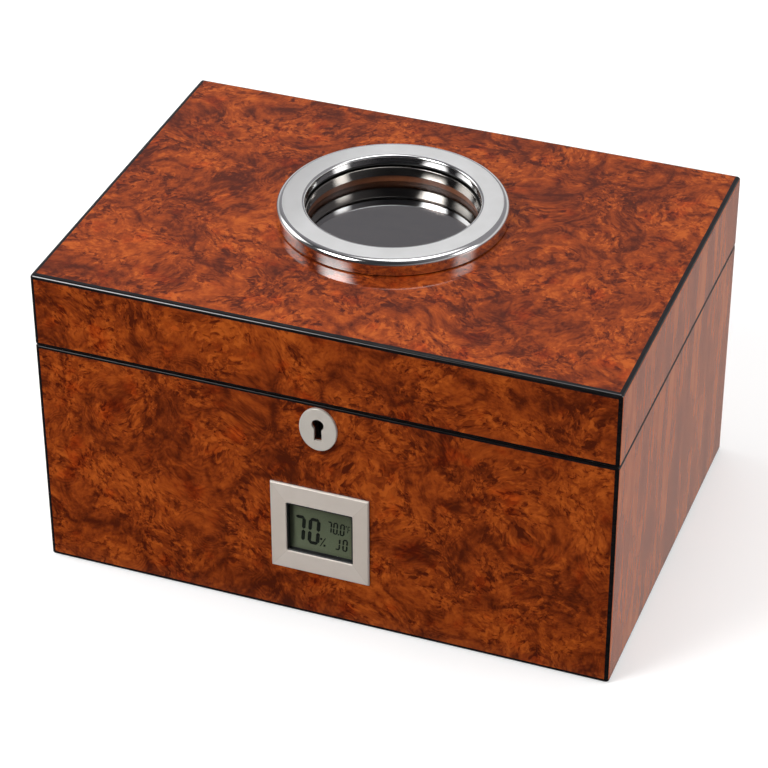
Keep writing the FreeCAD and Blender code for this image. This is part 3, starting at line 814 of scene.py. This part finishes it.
class FinishLining(HumidorOperator):
    """Cedar lining and the divider"""
    bl_idname = "humidor.finish_lining"
    bl_label = "Finish Lining"

    def execute(self, context):
        along_x = cedar("cedar_along_width", (12, 1, 1))
        along_y = cedar("cedar_along_depth", (1, 12, 1))
        dress(along_x, "base_front_liner", "base_back_liner", "base_floor_liner",
              "lid_ceiling_liner", "lid_wall_liners")
        dress(along_y, "base_side_liners", "divider")
        return {"FINISHED"}


class MakeWindow(HumidorOperator):
    """Turned ring, sleeve and gasket, and the smoked pane of the lid's window"""
    bl_idname = "humidor.make_window"
    bl_label = "Make Window"

    def execute(self, context):
        window = context.scene.humidor.window
        low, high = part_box("window_ring")
        sleeve_low, sleeve_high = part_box("window_sleeve")
        gasket_low, gasket_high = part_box("window_gasket")
        outer = (high.x - low.x) / 2
        seat = (sleeve_high.x - sleeve_low.x) / 2
        bore, curve, lip = window.ring_bore, window.outer_shoulder, window.inner_shoulder
        groove, sleeve_edge, gasket_edge = 0.8 * MM, 0.35 * MM, 0.6 * MM
        ring = arc((outer - curve, high.z - curve), curve, 0, 90, 12)
        ring += arc((bore + lip, high.z - lip), lip, 90, 180, 8)
        ring += [(bore, gasket_high.z), (seat, gasket_high.z), (seat, low.z),
                 (outer - groove, low.z), (outer - groove, low.z + groove),
                 (outer, low.z + groove)]
        made = turned_piece("polished_ring", "window_ring", ring, ring_metal(), window.segments)
        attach(made, "lid")
        rounding = window.sleeve_bore + sleeve_edge
        sleeve = [(seat, sleeve_low.z), (seat, sleeve_high.z)]
        sleeve += arc((rounding, sleeve_high.z - sleeve_edge), sleeve_edge, 90, 180, 4)
        sleeve += [(window.sleeve_bore, sleeve_low.z + sleeve_edge), (rounding, sleeve_low.z)]
        made = turned_piece("glass_sleeve", "window_sleeve", sleeve,
                            mirror_chrome("sleeve_chrome", colour(170, 166, 160)), window.segments)
        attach(made, "lid")
        half = (gasket_high.z - gasket_low.z) / 2
        middle = gasket_low.z + half
        gasket = [(seat, gasket_low.z), (seat, gasket_high.z)]
        gasket += arc((window.gasket_bore + gasket_edge, middle), gasket_edge, 90, 270, 8)
        made = turned_piece("rubber_gasket", "window_gasket", gasket,
                            moulded_plastic("gasket_rubber", grey(12), grey(26), 0.5),
                            window.segments)
        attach(made, "lid")
        dress(smoked_glass(), "window_glass")
        dress(moulded_plastic("seal_rubber", grey(14), grey(28), 0.55), "window_seal")
        dress(moulded_plastic("retaining_ring_plastic", colour(16, 16, 17), colour(32, 32, 33),
                              0.38), "window_retaining_ring")
        return {"FINISHED"}


class FinishLock(HumidorOperator):
    """Escutcheon, lock case, bolt and strike plate"""
    bl_idname = "humidor.finish_lock"
    bl_label = "Finish Lock"

    def execute(self, context):
        dress(brushed_metal("escutcheon_satin", colour(197, 190, 181), 0.36, 0.46, shine=0.3),
              "lock_escutcheon")
        dress(brushed_metal("lock_zinc", colour(176, 172, 160), 0.30, 0.44, (12, 1, 1)),
              "lock_case", "lock_cover", "strike_plate")
        dress(brushed_metal("bolt_steel", colour(190, 190, 192), 0.18, 0.30, (1, 1, 14)),
              "lock_bolt")
        return {"FINISHED"}


class MakeHygrometer(HumidorOperator):
    """Bezel, frame, display window and readings of the hygrometer"""
    bl_idname = "humidor.make_hygrometer"
    bl_label = "Make Hygrometer"

    # Which of the seven bars each sign lights, named a to g from the top round to the middle
    BARS = {"0": "abcdef", "1": "bc", "2": "abged", "3": "abgcd", "4": "fgbc", "5": "afgcd",
            "6": "afgedc", "7": "abc", "8": "abcdefg", "9": "abcdfg", "F": "afge", "J": "bcd"}

    def bars(self, sign, width, height, stroke, gap):
        """Outlines of a sign's bars, with pointed ends, from its lower left corner."""
        half = stroke / 2
        inset = half * 0.55 + gap
        levels = {"a": height - half, "g": height / 2, "d": half}
        sides = {"f": half, "b": width - half, "e": half, "c": width - half}
        outlines = []
        for bar in self.BARS[sign]:
            if bar in levels:
                middle, near, far = levels[bar], inset, width - inset
                outlines.append([(near, middle), (near + half, middle + half),
                                 (far - half, middle + half), (far, middle),
                                 (far - half, middle - half), (near + half, middle - half)])
                continue
            side = sides[bar]
            bottom = (height / 2 if bar in "fb" else half) + gap
            top = (height - half if bar in "fb" else height / 2) - gap
            outlines.append([(side, bottom), (side + half, bottom + half),
                             (side + half, top - half), (side, top),
                             (side - half, top - half), (side - half, bottom + half)])
        return outlines

    def reading(self, text, left, bottom, height, width, stroke, pitch):
        """Outlines of a whole reading, in millimetres from the middle of the display."""
        outlines = []
        for sign in text:
            if sign == ".":
                near = left - pitch + width + 0.1
                outlines.append([(near, bottom), (near + stroke, bottom),
                                 (near + stroke, bottom + stroke), (near, bottom + stroke)])
                left += stroke * 0.6
                continue
            for outline in self.bars(sign, width, height, stroke, stroke * 0.12):
                outlines.append([(left + x, bottom + y) for x, y in outline])
            left += pitch
        return outlines

    def percent(self, left, bottom, width, height):
        """A percent sign from two small squares and a stroke."""
        dot = width * 0.36
        ends = ((0.0, height - dot * 1.5), (width - dot, dot * 0.2))
        outlines = [[(left + x, bottom + y), (left + x + dot, bottom + y),
                     (left + x + dot, bottom + y + dot * 1.2), (left + x, bottom + y + dot * 1.2)]
                    for x, y in ends]
        outlines.append([(left, bottom), (left + width * 0.18, bottom),
                         (left + width, bottom + height), (left + width * 0.82, bottom + height)])
        return outlines

    def execute(self, context):
        display = context.scene.humidor.display
        black = moulded_plastic("instrument_plastic", colour(13, 14, 15), colour(26, 27, 28),
                                0.30, 0.7, 0.02)
        low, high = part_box("hygro_display")
        lens_low, lens_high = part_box("hygro_lens")
        centre = (low + high) / 2
        outlines = self.reading(display.humidity, left=-16.3, bottom=-11.05, height=18.0,
                                width=6.9, stroke=2.1, pitch=8.5)
        outlines += self.percent(left=-0.6, bottom=-11.2, width=3.4, height=6.2)
        outlines += self.reading(display.temperature, left=2.9, bottom=-1.0, height=8.1,
                                 width=2.85, stroke=0.9, pitch=3.42)
        outlines += self.reading("F", left=14.6, bottom=1.4, height=5.0,
                                 width=1.7, stroke=0.5, pitch=2)
        outlines.append([(13.5, 5.6), (14.3, 5.6), (14.3, 6.5), (13.5, 6.5)])
        outlines += self.reading(display.record, left=8.1, bottom=-11.2, height=8.2,
                                 width=3.1, stroke=0.95, pitch=4.3)
        form = bmesh.new()
        sunk, proud = 0.01 * MM, 0.03 * MM
        back, front = low.y + sunk, low.y - proud
        for outline in outlines:
            turned = [(centre.x + (x + y * tan(display.slant)) * MM, centre.z + y * MM)
                      for x, y in outline]
            rear = [form.verts.new((x, back, z)) for x, z in turned]
            face = [form.verts.new((x, front, z)) for x, z in turned]
            form.faces.new(rear)
            form.faces.new(face)
            for number in range(len(turned)):
                after = (number + 1) % len(turned)
                form.faces.new((rear[number], rear[after], face[after], face[number]))
        ink = piece("display_segments", mesh_from("display_segments", form), display_ink(display))
        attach(ink, "hygrometer")
        self.display_window(lens_low, lens_high, low.y)
        self.surround(black)
        dress(display_ground(display), "hygro_display")
        dress(bezel_metal(), "hygro_bezel")
        dress(black, "hygro_front_frame", "hygro_rear_housing", "hygro_battery_cap", "hygro_sensor")
        dress(circuit_board(), "hygro_board")
        dress(brushed_metal("battery_steel", colour(198, 198, 196), 0.18, 0.28), "hygro_battery")
        dress(moulded_plastic("button_rubber", colour(20, 20, 21), colour(34, 34, 35), 0.6),
              "hygro_left_button", "hygro_right_button")
        return {"FINISHED"}

    def surround(self, material):
        """Thin black lip that lines the bezel's opening, with rounded front edges."""
        low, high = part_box("hygro_bezel")
        centre = (low + high) / 2
        play = 0.05
        half_x, half_z, width = (OPENING_X - play) * MM, (OPENING_Z - play) * MM, 0.75 * MM
        front, back = low.y + 0.45 * MM, high.y
        round_off = 0.2 * MM
        section = [(0, back), (0, front + round_off), (round_off, front),
                   (width - round_off, front), (width, front + round_off), (width, back)]
        form = bmesh.new()
        loops = []
        for inset, depth in section:
            x, z = half_x - inset, half_z - inset
            loops.append([form.verts.new((centre.x + a * x, depth, centre.z + b * z))
                          for a, b in ((-1, -1), (1, -1), (1, 1), (-1, 1))])
        for near, far in zip(loops, loops[1:] + loops[:1]):
            for number in range(4):
                after = (number + 1) % 4
                form.faces.new((near[number], near[after], far[after], far[number]))
        lip = piece("display_surround", mesh_from("display_surround", form), material)
        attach(lip, "hygrometer")

    def display_window(self, low, high, display_front):
        """Clear pane with eased edges, just clear of the display behind it."""
        air, eased = 0.08 * MM, 0.15 * MM
        form = bmesh.new()
        bmesh.ops.create_cube(form, size=1.0)
        back = Vector((high.x, display_front - air, high.z))
        spread, middle = back - low, (low + back) / 2
        for vert in form.verts:
            vert.co = Vector([part * size for part, size in zip(vert.co, spread)]) + middle
        bmesh.ops.bevel(form, geom=form.edges, offset=eased, segments=3, profile=0.5,
                        affect="EDGES")
        mesh = mesh_from("display_window", form, radians(35))
        pane = piece("display_window", mesh, clear_window())
        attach(pane, "hygrometer")
        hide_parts("hygro_lens")


class FinishHinges(HumidorOperator):
    """Hinge leaves and pins"""
    bl_idname = "humidor.finish_hinges"
    bl_label = "Finish Hinges"

    def execute(self, context):
        dress(brushed_metal("hinge_nickel", colour(196, 188, 172), 0.24, 0.36, (14, 1, 1),
                            depth=0.001), "hinge_base_leaves", "hinge_lid_leaves")
        dress(brushed_metal("pin_steel", grey(176), 0.16, 0.26, (14, 1, 1)), "hinge_pins")
        return {"FINISHED"}


class DriveScrews(HumidorOperator):
    """Slotted screws, set out by Geometry Nodes where the design has them"""
    bl_idname = "humidor.drive_screws"
    bl_label = "Drive Screws"

    def screw(self, screws, radius, length):
        """One screw with its head's face at the origin, facing up, as an object."""
        head, shank = screws.head_depth, screws.shank_radius
        rim, tip, turns = 0.18 * MM, 1.2 * MM, 7
        root = shank * 0.74
        pitch = (length - head - tip) / turns
        outline = [(0, 0), (radius - 0.3 * MM, 0), (radius, -rim), (radius - 0.1 * MM, -2 * rim),
                   (shank, -head)]
        for turn in range(turns):
            outline += [(shank, -head - pitch * (turn + 0.2)), (root, -head - pitch * (turn + 0.7))]
        outline += [(root, -length + tip), (0, -length)]
        form = bmesh.new()
        chain = [form.verts.new((distance, 0, height)) for distance, height in outline]
        edges = [form.edges.new(pair) for pair in zip(chain, chain[1:])]
        bmesh.ops.spin(form, geom=chain + edges, cent=(0, 0, 0), axis=(0, 0, 1), angle=2 * pi,
                       steps=20)
        body = piece("screw_body", mesh_from("screw_body", form))
        cutter = bmesh.new()
        bmesh.ops.create_cube(cutter, size=1.0, matrix=Matrix.Diagonal(
            (radius * 3, screws.slot_width, screws.slot_depth * 2, 1)))
        knife = piece("screw_slot", mesh_from("screw_slot", cutter))
        cut = body.modifiers.new("slot", "BOOLEAN")
        cut.object = knife
        cut.solver = "EXACT"
        mesh = evaluated_mesh(body, "slotted_screw")
        bpy.data.objects.remove(knife)
        mesh.shade_smooth()
        mesh.set_sharp_from_angle(angle=radians(30))
        return piece("slotted_screw", mesh)

    def execute(self, context):
        screws = context.scene.humidor.screws
        steel = brushed_metal("screw_steel", colour(186, 184, 178), 0.22, 0.34)
        tree = screw_tree()
        groups = (("window_screws", -1, "lid", "retaining_ring_screws"),
                  ("base_rim_screws", 1, "base", "base_screws"),
                  ("lid_rim_screws", -1, "lid", "lid_screws"))
        for node, way, body, name in groups:
            boxes = solids_of(node)
            low, high = boxes[0]
            master = self.screw(screws, (high.x - low.x) / 2, high.z - low.z)
            points = bpy.data.meshes.new(name + "_points")
            points.from_pydata([((low.x + high.x) / 2, (low.y + high.y) / 2,
                                 high.z if way > 0 else low.z) for low, high in boxes], [], [])
            facing = points.attributes.new("facing", "FLOAT_VECTOR", "POINT")
            for number in range(len(boxes)):
                facing.data[number].vector = (0, 0, way)
            mesh = grow(name, points, tree, {"Screw": master, "Seed": SEED, "Material": steel})
            bpy.data.objects.remove(master)
            made = piece(name, mesh)
            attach(made, body)
            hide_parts(node)
        return {"FINISHED"}


class FinishHumidifier(HumidorOperator):
    """Humidifier case, grille, foam, magnets and lid plates"""
    bl_idname = "humidor.finish_humidifier"
    bl_label = "Finish Humidifier"

    def execute(self, context):
        dress(moulded_plastic("humidifier_plastic", colour(17, 17, 18), colour(34, 34, 35),
                              0.42, 0.9, 0.05), "humidifier_case", "humidifier_grille")
        dress(soft_foam(), "humidifier_foam")
        dress(brushed_metal("magnet_nickel", colour(200, 198, 192), 0.12, 0.22),
              "humidifier_magnets")
        dress(brushed_metal("plate_steel", colour(168, 168, 170), 0.28, 0.40, (10, 1, 1)),
              "humidifier_lid_plates")
        return {"FINISHED"}


class SetStage(HumidorOperator):
    """Floor, studio lights, surroundings and camera"""
    bl_idname = "humidor.set_stage"
    bl_label = "Set Stage"

    def execute(self, context):
        stage = context.scene.humidor.stage
        bpy.context.scene.view_settings.view_transform = "Standard"
        self.floor(stage)
        self.surroundings()
        self.softbox("key_softbox", (-0.85, -1.05, 1.25), (1.2, 1.0), stage.key_power)
        self.softbox("top_softbox", (0.15, 0.35, 1.9), (1.7, 1.5), stage.top_power)
        self.softbox("side_softbox", (1.6, 0.1, 0.9), (0.9, 1.1), stage.side_power)
        self.softbox("left_softbox", (-1.7, 0.15, 0.95), (1.5, 1.4), stage.left_power)
        self.camera(stage)
        return {"FINISHED"}

    def floor(self, stage):
        """White floor whose reflection is bright behind the case and dim in front of it."""
        half = stage.floor_size / 2
        mesh = bpy.data.meshes.new("studio_floor")
        mesh.from_pydata([(-half, -half, 0), (half, -half, 0), (half, half, 0), (-half, half, 0)],
                         [], [(0, 1, 2, 3)])
        finish = Finish("studio_floor_white")
        front = finish.axes(finish.place())[1].rise(-135, -95)
        shine = finish.mix(front, (0.02, 0.02, 0.02, 1), (0.36, 0.345, 0.33, 1))
        paper = finish.noise(finish.place(), 180, 3)
        shade = finish.ramp(paper, (0.3, (0.86, 0.86, 0.86, 1)), (0.7, (0.88, 0.88, 0.88, 1)))
        matt = finish.node("ShaderNodeBsdfDiffuse", None, {"Color": shade})
        glow = finish.node("ShaderNodeEmission", None, {"Color": shine, "Strength": 1.0})
        rays = finish.node("ShaderNodeLightPath")
        lift = finish.node("ShaderNodeEmission", None, {"Color": (1, 1, 1, 1), "Strength": 1.7})
        clean = Term(finish, rays.outputs["Is Camera Ray"]) * 0.22
        bright = finish.blend(clean, matt.outputs[0], lift.outputs[0])
        both = finish.blend(rays.outputs["Is Glossy Ray"], bright, glow.outputs[0])
        finish.tree.links.new(both, finish.out.inputs["Surface"])
        piece("studio_floor", mesh, finish.material)

    def surroundings(self):
        """White to the eye. Reflections see a dim studio that is brighter low behind the case."""
        world = bpy.data.worlds.new("studio_room")
        bpy.context.scene.world = world
        world.use_nodes = True
        world.node_tree.nodes.clear()
        room = ShaderKit(world.node_tree)
        rays = room.node("ShaderNodeLightPath")
        across, along, up = room.axes(room.node("ShaderNodeTexCoord").outputs["Generated"])
        spread = room.node("ShaderNodeMapRange", None,
                           {"Value": across * 0.45 + along, "From Min": -1.0})
        behind = Term(room, spread.outputs[0])
        walls = room.ramp(behind, (0.25, (0.04, 0.04, 0.045, 1)), (0.75, (0.33, 0.32, 0.34, 1)))
        sky = room.mix(up.rise(0.42, 0.12) * behind, walls, (0.9, 0.9, 0.9, 1))
        shine, soft, white = [room.node("ShaderNodeBackground", None, {"Color": shade}).outputs[0]
                              for shade in (sky, (0.38, 0.38, 0.38, 1), (1, 1, 1, 1))]
        lit = room.blend(rays.outputs["Is Glossy Ray"], soft, shine)
        seen = room.blend(rays.outputs["Is Camera Ray"], lit, white)
        room.node("ShaderNodeOutputWorld", None, {"Surface": seen})

    def softbox(self, name, place, size, power):
        """Rectangular light that faces the middle of the case."""
        light = bpy.data.lights.new(name, "AREA")
        light.shape = "RECTANGLE"
        light.size, light.size_y = size
        light.energy = power
        self.feather(light)
        lamp = bpy.data.objects.new(name, light)
        bpy.context.scene.collection.objects.link(lamp)
        lamp.location = place
        aim = Vector((0, 0, 0.1)) - Vector(place)
        lamp.rotation_euler = aim.to_track_quat("-Z", "Y").to_euler()

    def feather(self, light):
        """Lets the softbox fade towards its edges, as its cloth does."""
        light.use_nodes = True
        cloth = ShaderKit(light.node_tree)
        glow = next(node for node in cloth.tree.nodes if node.type == "EMISSION")
        where = cloth.node("ShaderNodeNewGeometry").outputs["Parametric"]
        across, along = [Term(cloth, cloth.node(
            "ShaderNodeMapRange", {"interpolation_type": "SMOOTHSTEP"},
            {"Value": side.fold(0.5), "From Max": 0.40, "To Max": 1.5}).outputs[0])
            for side in cloth.axes(where)[:2]]
        cloth.tree.links.new((across * along).socket, glow.inputs["Strength"])

    def camera(self, stage):
        lens = bpy.data.cameras.new("camera")
        lens.lens = stage.lens
        lens.sensor_width = 36.0
        lens.clip_end = 100.0
        camera = bpy.data.objects.new("camera", lens)
        bpy.context.scene.collection.objects.link(camera)
        back = Vector((sin(stage.bearing) * cos(stage.elevation),
                       -cos(stage.bearing) * cos(stage.elevation), sin(stage.elevation)))
        right = Vector((0, 0, 1)).cross(back).normalized()
        up = back.cross(right)
        turned_right = cos(stage.roll) * right - sin(stage.roll) * up
        turned_up = cos(stage.roll) * up + sin(stage.roll) * right
        turn = Matrix((turned_right, turned_up, back)).transposed()
        camera.matrix_world = Matrix.Translation(stage.place) @ turn.to_4x4()
        bpy.context.scene.camera = camera


class HumidorSettings(PropertyGroup):
    """All settings of the humidor."""
    veneer: PointerProperty(type=VeneerSettings)
    window: PointerProperty(type=WindowSettings)
    display: PointerProperty(type=DisplaySettings)
    screws: PointerProperty(type=ScrewSettings)
    stage: PointerProperty(type=StageSettings)


OPERATORS = (FinishCabinet, FinishLining, MakeWindow, FinishLock, MakeHygrometer, FinishHinges,
             DriveScrews, FinishHumidifier, SetStage)


class HumidorPanel(Panel):
    """Settings and operators of the humidor"""
    bl_idname = "HUMIDOR_PT_sidebar"
    bl_label = "Desktop Humidor"
    bl_space_type = "VIEW_3D"
    bl_region_type = "UI"
    bl_category = "Humidor"

    def draw(self, context):
        layout = self.layout
        for group in ("veneer", "window", "display", "screws", "stage"):
            settings = getattr(context.scene.humidor, group)
            box = layout.box()
            box.label(text=group.title())
            for name in settings.__annotations__:
                box.prop(settings, name)
        for operator in OPERATORS:
            layout.operator(operator.bl_idname)


CLASSES = (VeneerSettings, WindowSettings, DisplaySettings, ScrewSettings, StageSettings,
           HumidorSettings, *OPERATORS, HumidorPanel)


def register():
    for each in CLASSES:
        bpy.utils.register_class(each)
    bpy.types.Scene.humidor = PointerProperty(type=HumidorSettings)


def unregister():
    del bpy.types.Scene.humidor
    for each in reversed(CLASSES):
        bpy.utils.unregister_class(each)


def main():
    register()
    for operator in OPERATORS:
        group, name = operator.bl_idname.split(".")
        getattr(getattr(bpy.ops, group), name)()


if __name__ == "__main__":
    main()
